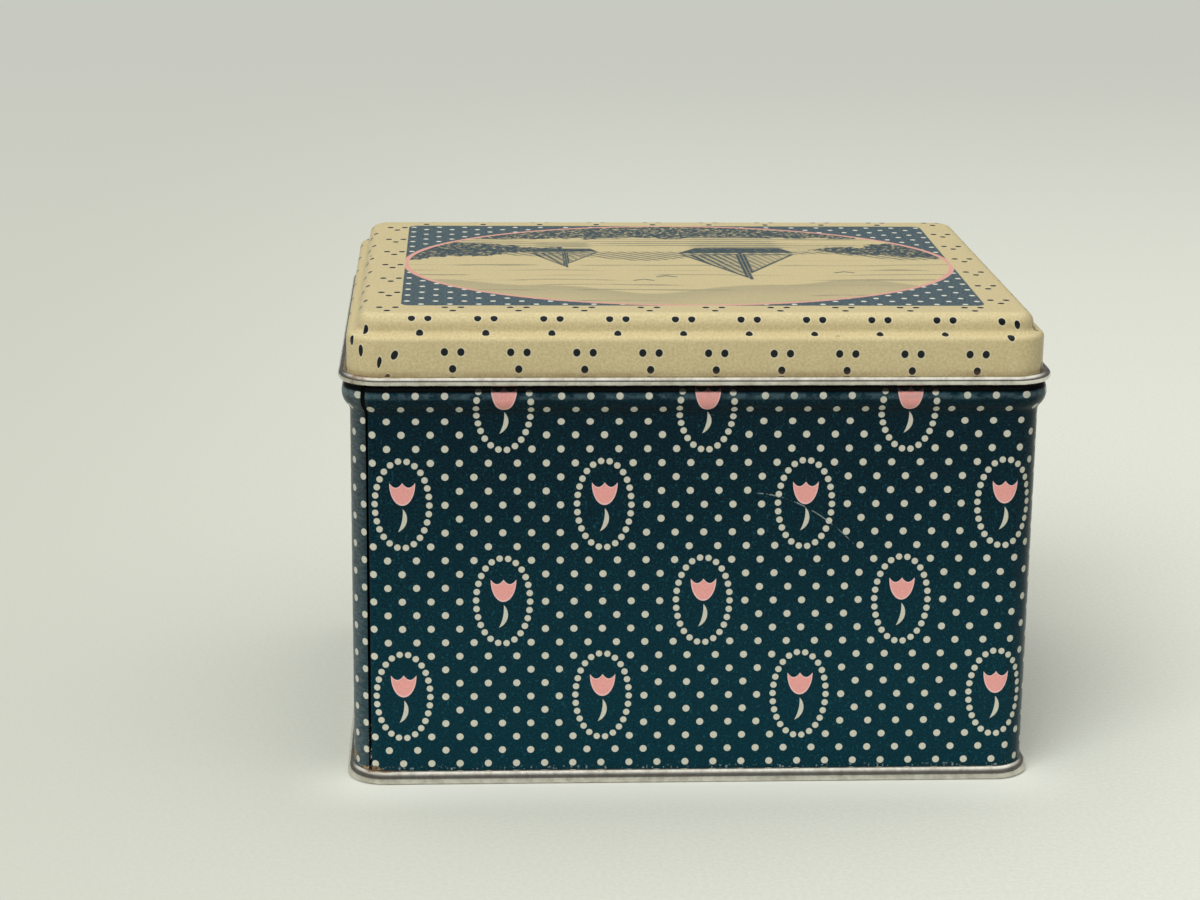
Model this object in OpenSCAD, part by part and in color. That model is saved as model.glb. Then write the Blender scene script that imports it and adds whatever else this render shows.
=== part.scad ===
// Rectangular tinplate box with a lift-off lid, in millimetres, +Z up.
// The origin is at the middle of the foot. The lid's rolled edge rests on a bead round
// the body, and the base is seamed on round the outside of the body.

/* [Overall] */
// Width of the body over its flat walls
body_w = 152.4; // [110:0.4:220]
// Depth of the body over its flat walls
body_d = 116; // [80:0.5:180]
// Height of the closed tin
tin_h = 107.5; // [60:0.5:160]
// Outer radius of the body's upright corners
corner_r = 7; // [5.5:0.25:16]
// Thickness of the tinplate
sheet_t = 0.28; // [0.2:0.02:0.4]

/* [Body] */
// How far the bead under the lid stands out from the wall
bead_out = 1.8; // [1.4:0.1:2.4]
// Height of the bead with its fillets
bead_h = 9; // [7:0.1:10.8]
// Radius of the bead's fillets, on the outer face
bead_fillet_r = 2.4; // [0.8:0.1:2.6]
// Height of the fold inside the mouth
hem_h = 2.5; // [1:0.1:4]
// Angle round the left front corner at which the upright seam lies, from the front wall
seam_angle = 27; // [24:1:60]
// Width of the folded strip behind the upright seam
seam_w = 4; // [2:0.1:5]
// Width of the groove along the upright seam
groove_w = 0.6; // [0.3:0.1:1]
// Depth of that groove
groove_t = 0.12; // [0.05:0.01:0.15]

/* [Base] */
// Height of the rim that holds the base
rim_h = 3.1; // [2.2:0.1:5]
// Height of the base panel's underside above the table
base_recess = 2; // [1:0.1:4]

/* [Lid] */
// Height of the lid, from the lower side of its rolled edge to its top
lid_h = 15.2; // [13:0.1:30]
// Outer diameter of the lid's rolled edge
curl_d = 2.2; // [1.6:0.1:2.8]
// Rise of the lid's panel above its shoulder
panel_rise = 4.4; // [3.9:0.1:6]
// Radius of the bend from the skirt to the shoulder
shoulder_r = 1.3; // [1:0.1:2]
// Radius at the foot of the panel's step
step_foot_r = 1.2; // [0.4:0.1:1.6]
// Radius at the panel's raised edge
step_edge_r = 2.6; // [0.8:0.1:3]

/* [Clearances] */
// Gap between the body's neck and the lid's skirt
lid_gap = 0.35; // [0.2:0.05:0.6]
// Gap between the rolled edge and the bead it rests on
rest_gap = 0.08; // [0.02:0.01:0.1]
// Gap between the mouth and the start of the lid's shoulder
mouth_gap = 0.2; // [0.1:0.1:3]
// Gap between the sheets of the base seam
seam_gap = 0.05; // [0.02:0.01:0.1]

/* [Hidden] */
$fn = 96;

// Overlap where two shapes of one sheet meet
lap = 0.4;

// Centres of the corners, to a thousandth, so that the walls end exactly where the corners begin
function thousandth(size) = round(1000 * size) / 1000;
corner_x = thousandth(body_w / 2 - corner_r);
corner_y = thousandth(body_d / 2 - corner_r);

// Base seam: a half round rim, with the body's flange caught inside it
rim_r = rim_h / 2;
rim_x = seam_gap;
flange_w = rim_r - sheet_t - 2 * seam_gap;
flange_z = rim_r - sheet_t / 2;
chuck_x = -sheet_t - seam_gap;

// Lid, with x counted outwards from the body's outer face
curl_r = curl_d / 2;
curl_x = lid_gap + curl_r;
curl_z = tin_h - lid_h + curl_r;
curl_from = -180;
curl_to = 115;
skirt_x = lid_gap + sheet_t;
ledge_z = tin_h - panel_rise;
shoulder_z = ledge_z - shoulder_r;
foot_x = skirt_x - shoulder_r;
riser_x = foot_x - step_foot_r;
panel_x = riser_x - step_edge_r;

// Bead: one convex arc between two concave fillets, all tangent
bead_half = bead_h / 2;
arcs_r = (bead_out * bead_out + bead_half * bead_half) / (2 * bead_out);
bead_r = arcs_r - bead_fillet_r;
bead_x = bead_out - bead_r;

// How far inwards the sections of the wall are drawn
core_x = bead_r - bead_x + lap;

// The bead lies where the rolled edge comes to rest on it
rest_reach = bead_r + curl_r + rest_gap;
rest_rise = sqrt(rest_reach * rest_reach - (curl_x - bead_x) * (curl_x - bead_x));
bead_z = curl_z - rest_rise;
bead_low = bead_z - bead_half;
bead_high = bead_z + bead_half;
mouth_z = shoulder_z - mouth_gap;

// Upright seam
groove_turn = groove_w / corner_r * 180 / PI;
strip_turn = seam_w / corner_r * 180 / PI;
strip_t = 3 * sheet_t;
strip_low = base_recess + 2 * sheet_t + seam_gap;

// A piece of sheet bent to an arc, between two angles
module bend(centre, r_out, thick, from, to) {
    steps = 8;
    reach = 2 * r_out;
    sector = [for (i = [0:steps]) reach * [cos(from + (to - from) * i / steps),
                                           sin(from + (to - from) * i / steps)]];
    translate(centre) intersection() {
        difference() {
            circle(r_out);
            circle(r_out - thick);
        }
        polygon(concat([[0, 0]], sector));
    }
}

// An upright or level run of sheet from one corner to the opposite one
module run(low, high) {
    translate(low) square(high - low);
}

// Carries a profile round the body's outline: x is outwards from the wall, y is height
module round_body() {
    for (side = [0:3]) {
        across = side % 2 == 0 ? corner_x : corner_y;
        along = side % 2 == 0 ? corner_y : corner_x;
        rotate([0, 0, 90 * side]) {
            translate([across + corner_r, along, 0])
                rotate([90, 0, 0]) linear_extrude(2 * along) children();
            translate([across, along, 0])
                rotate_extrude(angle = 90) translate([corner_r, 0]) children();
        }
    }
}

// Turns a profile through part of the left front corner, centred on the upright seam
module at_seam(turn) {
    translate([-corner_x, -corner_y, 0])
        rotate([0, 0, 270 - seam_angle - turn / 2])
            rotate_extrude(angle = turn) translate([corner_r, 0]) children();
}

// A flat panel that reaches x outwards from the body's outer face
module flat_panel(x, low, thick) {
    r = corner_r + x;
    translate([0, 0, low]) linear_extrude(thick) {
        square([2 * corner_x, 2 * (corner_y + r)], center = true);
        square([2 * (corner_x + r), 2 * corner_y], center = true);
        for (side_x = [-corner_x, corner_x], side_y = [-corner_y, corner_y])
            translate([side_x, side_y]) circle(r);
    }
}

// The section of everything under the outer face, or under a face that lies deeper by depth
module inside_face(depth, low, high) {
    run([-core_x, low], [-depth, high]);
    translate([bead_x, bead_z]) circle(bead_r - depth);
    difference() {
        polygon([[-core_x, bead_high], [bead_fillet_r, bead_high], [bead_x, bead_z],
                 [bead_fillet_r, bead_low], [-core_x, bead_low]]);
        translate([bead_fillet_r, bead_high]) circle(bead_fillet_r + depth);
        translate([bead_fillet_r, bead_low]) circle(bead_fillet_r + depth);
    }
}

module wall_profile() {
    difference() {
        inside_face(0, flange_z, mouth_z - sheet_t);
        inside_face(sheet_t, flange_z - lap, mouth_z);
    }
    run([-sheet_t, flange_z], [flange_w, flange_z + sheet_t]);
    hem_profile();
}

// The mouth's edge, folded inwards on itself
module hem_profile() {
    run([-2 * sheet_t, mouth_z - sheet_t - hem_h], [-sheet_t / 2, mouth_z - sheet_t]);
    intersection() {
        translate([-sheet_t, mouth_z - sheet_t]) circle(sheet_t);
        run([-2 * sheet_t, mouth_z - sheet_t], [0, mouth_z]);
    }
}

module groove_profile() {
    difference() {
        run([-core_x / 2, rim_h], [bead_out + lap, mouth_z - hem_h]);
        inside_face(groove_t, 0, tin_h);
    }
}

module base_profile() {
    bend([rim_x, rim_r], rim_r, sheet_t, -90, 90);
    run([chuck_x - sheet_t, 0], [rim_x, sheet_t]);
    run([chuck_x - sheet_t, 0], [chuck_x, base_recess + sheet_t]);
    run([chuck_x - sheet_t - lap, base_recess], [chuck_x, base_recess + sheet_t]);
}

module lid_profile() {
    bend([curl_x, curl_z], curl_r, sheet_t, curl_from, curl_to);
    run([lid_gap, curl_z], [skirt_x, shoulder_z]);
    bend([foot_x, shoulder_z], shoulder_r, sheet_t, 0, 90);
    bend([foot_x, ledge_z + step_foot_r], step_foot_r + sheet_t, sheet_t, 180, 270);
    run([riser_x - sheet_t, ledge_z + step_foot_r], [riser_x, tin_h - step_edge_r]);
    bend([panel_x, tin_h - step_edge_r], step_edge_r, sheet_t, 0, 90);
    run([panel_x - lap, tin_h - sheet_t], [panel_x, tin_h]);
}

module body_wall() {
    color([0.05, 0.15, 0.19]) {
        difference() {
            round_body() wall_profile();
            at_seam(groove_turn) groove_profile();
        }
        at_seam(strip_turn) run([-sheet_t - strip_t, strip_low], [-sheet_t, bead_low]);
    }
}

module base() {
    color([0.66, 0.63, 0.58]) {
        round_body() base_profile();
        flat_panel(chuck_x - sheet_t, base_recess, sheet_t);
    }
}

module lid() {
    color([0.76, 0.7, 0.54]) {
        round_body() lid_profile();
        flat_panel(panel_x, tin_h - sheet_t, sheet_t);
    }
}

body_wall();
base();
lid();
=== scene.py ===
import math

import bpy
from mathutils import Matrix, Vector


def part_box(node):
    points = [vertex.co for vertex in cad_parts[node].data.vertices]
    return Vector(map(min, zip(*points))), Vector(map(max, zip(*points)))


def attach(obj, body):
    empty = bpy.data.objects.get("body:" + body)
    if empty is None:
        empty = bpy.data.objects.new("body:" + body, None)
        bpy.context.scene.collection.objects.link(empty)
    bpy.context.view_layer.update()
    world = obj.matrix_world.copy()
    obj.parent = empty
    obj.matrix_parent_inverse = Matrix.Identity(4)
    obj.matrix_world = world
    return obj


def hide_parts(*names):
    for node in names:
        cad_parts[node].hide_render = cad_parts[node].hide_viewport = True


MM = 0.001

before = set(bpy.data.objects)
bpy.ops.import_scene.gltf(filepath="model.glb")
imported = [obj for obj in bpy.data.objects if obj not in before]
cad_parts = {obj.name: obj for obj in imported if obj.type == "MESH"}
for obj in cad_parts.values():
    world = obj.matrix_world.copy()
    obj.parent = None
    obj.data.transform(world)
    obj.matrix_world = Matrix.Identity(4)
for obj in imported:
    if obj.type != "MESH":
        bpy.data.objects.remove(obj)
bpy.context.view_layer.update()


def node_corners(node):
    """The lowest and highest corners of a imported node"""
    return [[side / MM for side in corner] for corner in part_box(node)]


wall_high = node_corners("body_wall")[1]
base_high = node_corners("base")[1]
lid_low, lid_high = node_corners("lid")

# The sheet and the body
SHEET_T = 0.28
CORNER_R = 7.0
BEAD_OUT = 1.8
BEAD_H = 9.0
BEAD_FILLET_R = 2.4
HEM_H = 2.5
HALF_W = wall_high[0] - BEAD_OUT
HALF_D = wall_high[1] - BEAD_OUT
CORNER_X = HALF_W - CORNER_R
CORNER_Y = HALF_D - CORNER_R
TIN_H = lid_high[2]
MOUTH_Z = wall_high[2]

# The lid
CURL_R = 1.1
CURL_END = 130
CURL_Z = lid_low[2] + CURL_R
CURL_X = lid_high[0] - HALF_W - CURL_R
LID_INNER_X = CURL_X - CURL_R
SKIRT_X = LID_INNER_X + SHEET_T
PANEL_RISE = 4.4
SHOULDER_R = 1.3
STEP_FOOT_R = 1.2
STEP_EDGE_R = 2.6
LEDGE_Z = TIN_H - PANEL_RISE
SHOULDER_Z = LEDGE_Z - SHOULDER_R
FOOT_X = SKIRT_X - SHOULDER_R
RISER_X = FOOT_X - STEP_FOOT_R
PANEL_X = RISER_X - STEP_EDGE_R

# The bead, on which the lid's rolled edge rests
REST_GAP = 0.08
BEAD_HALF = BEAD_H / 2
BEAD_R = (BEAD_OUT ** 2 + BEAD_HALF ** 2) / (2 * BEAD_OUT) - BEAD_FILLET_R
BEAD_X = BEAD_OUT - BEAD_R
BEAD_Z = CURL_Z - math.sqrt((BEAD_R + CURL_R + REST_GAP) ** 2 - (CURL_X - BEAD_X) ** 2)
BEAD_LOW = BEAD_Z - BEAD_HALF
BEAD_HIGH = BEAD_Z + BEAD_HALF
BEAD_ANGLE = math.degrees(math.atan2(BEAD_HALF, BEAD_FILLET_R - BEAD_X))

# The base's rim, fullest low down, and the body's flange inside it
SEAM_GAP = 0.05
RIM_H = base_high[2]
RIM_OUT = base_high[0] - HALF_W
RIM_LOW_R = 0.8
RIM_FACE_R = 3.3
RIM_FACE_ANGLE = 30
RIM_FACE_SINE = math.sin(math.radians(RIM_FACE_ANGLE))
RIM_TOP_R = (RIM_H - RIM_LOW_R - RIM_FACE_R * RIM_FACE_SINE) / (1 - RIM_FACE_SINE)
RIM_INNER_X = SEAM_GAP
CHUCK_X = -SHEET_T - SEAM_GAP
CHUCK_EDGE_R = 0.1
BASE_RECESS = 2.0
FLANGE_W = RIM_H / 2 - SHEET_T - 2 * SEAM_GAP
FLANGE_Z = RIM_H / 2 - SHEET_T / 2
FLANGE_BEND_R = 0.3

# The upright seam, at an angle round the left front corner from the front wall: its gap, and the
# folded strip behind it, which lifts one of its edges
SEAM_ANGLE = 27
SEAM_LOW_W = 0.66
SEAM_HIGH_W = 0.5
SEAM_BEAD_W = 0.9
SEAM_DEPTH = 0.6
SEAM_BEAD_DEPTH = 0.22
STRIP_W = 4.0
STRIP_T = 3 * SHEET_T
STRIP_LOW = BASE_RECESS + 3 * SHEET_T
STRIP_PROUD = 0.14

# The way round the tin, from the seam along the front and back to the seam. Angles grow on the
# way, from the one that the front faces to the one that the left side faces
FRONT_ANGLE = 270
LEFT_ANGLE = 540
CORNERS = [(-CORNER_X, -CORNER_Y), (CORNER_X, -CORNER_Y),
           (CORNER_X, CORNER_Y), (-CORNER_X, CORNER_Y)]
SIDES = [2 * CORNER_X, 2 * CORNER_Y, 2 * CORNER_X, 2 * CORNER_Y]
QUARTER_TURN = math.pi / 2 * CORNER_R
ROUND = sum(SIDES) + 4 * QUARTER_TURN
SEAM_TURN = FRONT_ANGLE - SEAM_ANGLE
SEAM_RUN = math.radians(SEAM_ANGLE) * CORNER_R

# The body's print, counted in half steps of its grid of dots, which are a quarter inch apart. It
# has x = PRINT_X at the front's middle, y = 0 at PRINT_FOOT above the table and y growing downwards,
# rows PRINT_ROW high, and a length of PRINT_ROUND from the seam to the seam
HALF_STEP = 3.175
PRINT_X = 0.45
PRINT_FOOT = 17.52
PRINT_ROW = 1.0036
PRINT_ROUND = 167.7
PRINT_START = PRINT_X - (CORNER_X + SEAM_RUN) / HALF_STEP
FRONT_END = SEAM_RUN + 2 * CORNER_X
STRETCH = (PRINT_ROUND * HALF_STEP - FRONT_END) / (ROUND - FRONT_END)

# Mesh fineness, and the rings of a flat panel as shares of its outline
CORNER_STEPS = 20
RUN_STEP = 5.0
WALL_STEP = 3.0
CAP_SCALES = (0.04, 0.3, 0.55, 0.75, 0.9, 0.97, 1)
SHARP_ANGLE = 40

PRINT_MAP = "PrintMap"
BAKE_MAP = "OFBake"
PRINT_SLOT, METAL_SLOT, INSIDE_SLOT, GROOVE_SLOT = range(4)

# Where pieces lie on the bake maps, and their scales there, for each millimetre
WALL_BAKE = 1 / (ROUND / 2 + 4)
WALL_ROW = 0.4
BASE_BAKE = 1 / 330
BASE_UNDER_BAKE_MIDDLE = (0.25, 0.2)
BASE_OVER_BAKE_MIDDLE = (0.75, 0.2)
LID_BAKE = 1 / 181
LID_BAKE_MIDDLE = (0.5, 0.4)
LID_UNDER_BAKE = 1 / 1100
LID_UNDER_BAKE_MIDDLE = (0.5, 0.935)


def smooth(value, low, high):
    """From 0 at low to 1 at high"""
    t = min(1, max(0, (value - low) / (high - low)))
    return t * t * (3 - 2 * t)


def arc(centre, radius, start, end, steps):
    """Points on an arc between two angles in degrees"""
    turns = [math.radians(start + (end - start) * i / steps) for i in range(steps + 1)]
    return [(centre[0] + radius * math.cos(t), centre[1] + radius * math.sin(t)) for t in turns]


def line(start, end, step=WALL_STEP):
    """Points from start to end, about a step apart"""
    count = max(1, round(math.dist(start, end) / step))
    return [tuple(a + (b - a) * i / count for a, b in zip(start, end)) for i in range(count + 1)]


def path(*runs):
    """Runs of points joined to one path, without the points that repeat"""
    points = []
    for run in runs:
        points += [point for point in run if not points or math.dist(point, points[-1]) > 1e-4]
    return points


def reach(points):
    """How far along a path each of its points lies"""
    total = [0.0]
    for a, b in zip(points, points[1:]):
        total.append(total[-1] + math.dist(a, b))
    return total


class Station:
    """A place on the way round: a corner centre or a point between two, and the way out from it.
    in_gap marks the two that stand in the upright seam's gap"""

    def __init__(self, centre, angle, run, in_gap=False):
        self.centre = centre
        self.angle = angle
        self.run = run
        self.in_gap = in_gap
        self.out = (math.cos(math.radians(angle)), math.sin(math.radians(angle)))

    def place(self, x, z):
        """The point that lies x outwards from the wall's face, at a height"""
        r = CORNER_R + x
        return (self.centre[0] + r * self.out[0], self.centre[1] + r * self.out[1], z)


def stations_round():
    """Stations anticlockwise from the seam to the seam. The last one closes the way round"""
    stations = []

    def turn(centre, first, last, run):
        count = max(2, round(CORNER_STEPS * (last - first) / 90))
        for i in range(count + 1):
            swept = (last - first) * i / count
            stations.append(Station(centre, first + swept, run + math.radians(swept) * CORNER_R))

    turn(CORNERS[0], SEAM_TURN, FRONT_ANGLE, 0)
    run = SEAM_RUN
    for side, length in enumerate(SIDES):
        first, last = CORNERS[side], CORNERS[(side + 1) % 4]
        angle = FRONT_ANGLE + 90 * side
        count = round(length / RUN_STEP)
        for i in range(1, count):
            centre = tuple(a + (b - a) * i / count for a, b in zip(first, last))
            stations.append(Station(centre, angle, run + length * i / count))
        run += length
        turn(last, angle, angle + 90 if side < 3 else SEAM_TURN + 360, run)
        run += QUARTER_TURN
    return stations


class Run:
    """A stretch of a section: its points, its material and where its corners lie on both maps"""

    def __init__(self, points, slot, printed, baked, place=None):
        self.points = points
        self.slot = slot
        self.printed = printed
        self.baked = baked
        self.place = place or (lambda station, point: station.place(*point))


def make_mesh(name, points, faces, slots, maps, materials):
    """A mesh object. maps gives, for each UV map, the places of every face's corners"""
    mesh = bpy.data.meshes.new(name)
    mesh.from_pydata([[side * MM for side in point] for point in points], [], faces)
    for material in materials:
        mesh.materials.append(material)
    mesh.polygons.foreach_set("material_index", slots)
    mesh.polygons.foreach_set("use_smooth", [True] * len(faces))
    for map_name, corners in maps.items():
        layer = mesh.uv_layers.new(name=map_name)
        layer.data.foreach_set("uv", [value for face in corners for spot in face for value in spot])
    mesh.set_sharp_from_angle(angle=math.radians(SHARP_ANGLE))
    piece = bpy.data.objects.new(name, mesh)
    bpy.context.scene.collection.objects.link(piece)
    return piece


def sweep(name, stations, closing, runs, materials, closed=False):
    """A mesh of the runs carried round the stations, either closed on itself or with two caps"""
    points, faces, slots = [], [], []
    maps = {PRINT_MAP: [], BAKE_MAP: []}
    following = stations[1:] + [closing]

    def face(corners, slot, prints, bakes):
        faces.append(corners)
        slots.append(slot)
        maps[PRINT_MAP].append(prints)
        maps[BAKE_MAP].append(bakes)

    def ring(run, i):
        first = len(points)
        points.extend(run.place(station, run.points[i]) for station in stations)
        return range(first, first + len(stations))

    def cap(run, i, corners, upward):
        middle = len(points)
        points.append((0, 0, points[corners[0]][2]))
        for k, station in enumerate(stations):
            trio = [corners[k], corners[(k + 1) % len(stations)], middle]
            if not upward:
                trio.reverse()
            spots = [points[corner] for corner in trio]
            face(trio, run.slot, [run.printed(station, i, spot) for spot in spots],
                 [run.baked(station, station, i, spot) for spot in spots])

    start = low = ring(runs[0], 0)
    for run in runs:
        last = len(run.points) - 1
        for i in range(last):
            high = start if closed and run is runs[-1] and i + 1 == last else ring(run, i + 1)
            for k, (here, there) in enumerate(zip(stations, following)):
                after = (k + 1) % len(stations)
                quad = (low[k], low[after], high[after], high[k])
                ends = ((here, i), (there, i), (there, i + 1), (here, i + 1))
                spots = [points[corner] for corner in quad]
                in_groove = run.slot == PRINT_SLOT and (here.in_gap or there.in_gap)
                face(quad, GROOVE_SLOT if in_groove else run.slot,
                     [run.printed(s, j, spot) for (s, j), spot in zip(ends, spots)],
                     [run.baked(here, s, j, spot) for (s, j), spot in zip(ends, spots)])
            low = high
    if not closed:
        cap(runs[0], 0, start, False)
        cap(runs[-1], len(runs[-1].points) - 1, low, True)
    return make_mesh(name, points, faces, slots, maps, materials)


# The functions that give places on the maps are all called with a station, the number of the
# section's point and the point in space. Those of the bake map first have the face's own station

def no_print(station, i, spot):
    return (0, 0)


def strip_bake(count, low, high):
    """Bake map of a run that is laid out as a strip between two heights of the map"""
    def baked(here, station, i, spot):
        return (0.01 + 0.98 * station.run / ROUND, low + (high - low) * i / (count - 1))
    return baked


def plan_bake(centre, scale):
    """Bake map of a run that is laid out as seen from above"""
    def baked(here, station, i, spot):
        return (centre[0] + spot[0] * scale, centre[1] + spot[1] * scale)
    return baked


def strip_run(points, slot, low, high, printed=no_print, place=None):
    """A run whose bake map is a strip between two heights"""
    return Run(points, slot, printed, strip_bake(len(points), low, high), place)


def flat_print(spot):
    return spot[:2]


def cap_run(x, z, slot, baked, inward, flat=flat_print):
    """A flat panel, as rings that shrink towards its middle"""
    def place(station, scale):
        spot = station.place(x, z)
        return (spot[0] * scale, spot[1] * scale, z)

    def printed(station, i, spot):
        return flat(spot)

    return Run(CAP_SCALES[::-1] if inward else CAP_SCALES, slot, printed, baked, place)


# Each material's node tree is built from arithmetic on fields, which vary over the surface

def linear(red, green, blue):
    """A colour for a shader, from its 0 to 255 values on the screen"""
    def value(level):
        part = level / 255
        return part / 12.92 if part <= 0.04045 else ((part + 0.055) / 1.055) ** 2.4
    return (value(red), value(green), value(blue), 1)


class Field:
    """A number that varies over a surface"""

    def __init__(self, surface, socket):
        self.surface = surface
        self.socket = socket

    def __add__(self, other):
        return self.surface.maths("ADD", self, other)

    def __sub__(self, other):
        return self.surface.maths("SUBTRACT", self, other)

    def __rsub__(self, other):
        return self.surface.maths("SUBTRACT", other, self)

    def __mul__(self, other):
        return self.surface.maths("MULTIPLY", self, other)

    def __truediv__(self, other):
        return self.surface.maths("DIVIDE", self, other)

    def __neg__(self):
        return self * -1

    def __abs__(self):
        return self.surface.maths("ABSOLUTE", self)

    def sin(self):
        return self.surface.maths("SINE", self)

    def cos(self):
        return self.surface.maths("COSINE", self)

    def swing(self):
        """Between 0 and 1 and back, as the field grows by 2"""
        return self.surface.maths("PINGPONG", self, 1)

    def within(self, half):
        """The field less whole periods, between -half and half"""
        return self.surface.maths("WRAP", self, half, -half)


class Surface:
    """A material and the few kinds of node that it is built from"""

    def __init__(self, name):
        self.material = bpy.data.materials.new(name)
        self.material.use_nodes = True
        self.tree = self.material.node_tree
        self.shader = next(n for n in self.tree.nodes if n.type == "BSDF_PRINCIPLED")
        self.coordinates = self.node("ShaderNodeTexCoord").outputs["Object"]

    def node(self, kind, **settings):
        node = self.tree.nodes.new(kind)
        for key, value in settings.items():
            setattr(node, key, value)
        return node

    def put(self, value, socket):
        if isinstance(value, Field):
            value = value.socket
        if isinstance(value, bpy.types.NodeSocket):
            self.tree.links.new(value, socket)
        else:
            socket.default_value = value

    def maths(self, operation, *values):
        node = self.node("ShaderNodeMath", operation=operation)
        for value, socket in zip(values, node.inputs):
            self.put(value, socket)
        return Field(self, node.outputs[0])

    def least(self, first, second):
        return self.maths("MINIMUM", first, second)

    def most(self, first, second):
        return self.maths("MAXIMUM", first, second)

    def length(self, x, y):
        return self.maths("SQRT", x * x + y * y)

    def ramp(self, value, low, high, first=0.0, last=1.0):
        """From first where value is under low to last where it is over high"""
        node = self.node("ShaderNodeMapRange", interpolation_type="SMOOTHSTEP")
        for item, socket in zip((value, low, high, first, last), node.inputs):
            self.put(item, socket)
        return Field(self, node.outputs[0])

    def inside(self, distance, soft=0.04):
        """1 where the distance is below nothing, 0 where it is above"""
        return self.ramp(distance, -soft / 2, soft / 2, 1.0, 0.0)

    def print_place(self):
        """The place on the flat print, as two fields"""
        node = self.node("ShaderNodeUVMap", uv_map=PRINT_MAP)
        parts = self.node("ShaderNodeSeparateXYZ")
        self.put(node.outputs["UV"], parts.inputs[0])
        return Field(self, parts.outputs["X"]), Field(self, parts.outputs["Y"])

    def own_place(self):
        """The place on the object in millimetres, as three fields"""
        parts = self.node("ShaderNodeSeparateXYZ")
        self.put(self.coordinates, parts.inputs[0])
        return tuple(Field(self, parts.outputs[axis]) / MM for axis in "XYZ")

    def noise(self, size, detail=2.0, rough=0.5, stretch=(1, 1, 1), seed=0.0):
        """Noise between about 0 and 1 whose patches are about a size across, in millimetres"""
        mapping = self.node("ShaderNodeMapping")
        self.put(self.coordinates, mapping.inputs["Vector"])
        mapping.inputs["Scale"].default_value = [1 / (MM * size * side) for side in stretch]
        mapping.inputs["Location"].default_value = (seed, seed * 0.7, -seed)
        node = self.node("ShaderNodeTexNoise")
        self.put(mapping.outputs["Vector"], node.inputs["Vector"])
        node.inputs["Scale"].default_value = 1
        node.inputs["Detail"].default_value = detail
        node.inputs["Roughness"].default_value = rough
        return Field(self, node.outputs["Fac"])

    def mix(self, factor, first, second):
        """The first colour where factor is 0, the second where it is 1"""
        node = self.node("ShaderNodeMix", data_type="RGBA")
        self.put(factor, node.inputs["Factor"])
        self.put(first, node.inputs[6])
        self.put(second, node.inputs[7])
        return node.outputs[2]

    def bump(self, height, depth):
        """Relief of a depth in millimetres"""
        node = self.node("ShaderNodeBump")
        node.inputs["Strength"].default_value = 1
        node.inputs["Distance"].default_value = depth * MM
        self.put(height, node.inputs["Height"])
        return node.outputs[0]

    def finish(self, colour, roughness, normal=None, metallic=0.0, gloss=0.5):
        self.put(colour, self.shader.inputs["Base Color"])
        self.put(roughness, self.shader.inputs["Roughness"])
        self.shader.inputs["Metallic"].default_value = metallic
        self.shader.inputs["Specular IOR Level"].default_value = gloss
        if normal:
            self.put(normal, self.shader.inputs["Normal"])
        return self.material


def staggered_dots(surface, x, y):
    """Distance to the nearest dot where every second point of a unit grid has one"""
    across, down = x.swing(), y.swing()
    return surface.least(surface.length(across, down), surface.length(1 - across, 1 - down))


# The ovals of dots on the body, in staggered rows 7 half steps apart, of which the last one lies
# above OVAL_END, with a tulip's cup and stem in each
OVAL_STEP = 7
OVAL_END = 14.5
OVAL_FIRST = (1, 4)
OVAL_A = 1.89
OVAL_B = 3.12
OVAL_MIDDLE = (0.03, -0.04)
OVAL_DOTS = 26
OVAL_PHASE = 0.02
CLEAR_A = 2.46
CLEAR_B = 3.67
DOT_R = 0.25
OVAL_DOT_R = 0.225
CUP_X = 0.055
CUP_Y = -1.53
CUP_A = 0.89
CUP_B = 1.55
CUP_TOP = -1.6
SCALLOP = 0.33


def circle_through(a, b, c):
    """Centre and radius of the circle through three points"""
    d = 2 * (a[0] * (b[1] - c[1]) + b[0] * (c[1] - a[1]) + c[0] * (a[1] - b[1]))
    squares = [p[0] ** 2 + p[1] ** 2 for p in (a, b, c)]
    x = (squares[0] * (b[1] - c[1]) + squares[1] * (c[1] - a[1]) + squares[2] * (a[1] - b[1])) / d
    y = (squares[0] * (c[0] - b[0]) + squares[1] * (a[0] - c[0]) + squares[2] * (b[0] - a[0])) / d
    return (x, y), math.dist((x, y), a)


STEM_TOP = (0.08, 0.27)
STEM_TIP = (-0.25, 1.91)
STEM_OUTER = circle_through(STEM_TOP, (0.37, 1.0), STEM_TIP)
STEM_INNER = circle_through(STEM_TOP, (0.04, 1.05), STEM_TIP)


def oval_of_dots(s, dx, dy):
    """Distance outside the nearest dot of the oval, for an offset from the oval's centre"""
    flat = (OVAL_B ** 2 - OVAL_A ** 2) / (OVAL_A ** 2 + OVAL_B ** 2)
    first = flat / 4 * (1 + flat ** 2 / 8)
    second = flat ** 2 / 64
    step = 2 * math.pi / OVAL_DOTS
    dx, dy = dx - OVAL_MIDDLE[0], dy - OVAL_MIDDLE[1]
    turn = s.maths("ARCTAN2", dy / OVAL_B, dx / OVAL_A)
    even = turn + (turn * 2).sin() * first - (turn * 4).sin() * second
    nearest = s.maths("ROUND", (even - OVAL_PHASE) / step) * step + OVAL_PHASE
    at = nearest - (nearest * 2).sin() * first + (nearest * 4).sin() * (first ** 2 + second)
    return s.length(dx - at.cos() * OVAL_A, dy - at.sin() * OVAL_B) - OVAL_DOT_R


def tulip_cup(s, dx, dy):
    """How deep inside the cup a place lies"""
    x = dx - CUP_X
    bowl = 1 - s.length(x / CUP_A, (dy - CUP_Y) / CUP_B)
    scallop = (abs(x) - CUP_A / 2) / (CUP_A / 2)
    top = dy - CUP_TOP - (1 - scallop * scallop) * SCALLOP
    return s.least(bowl, top)


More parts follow.
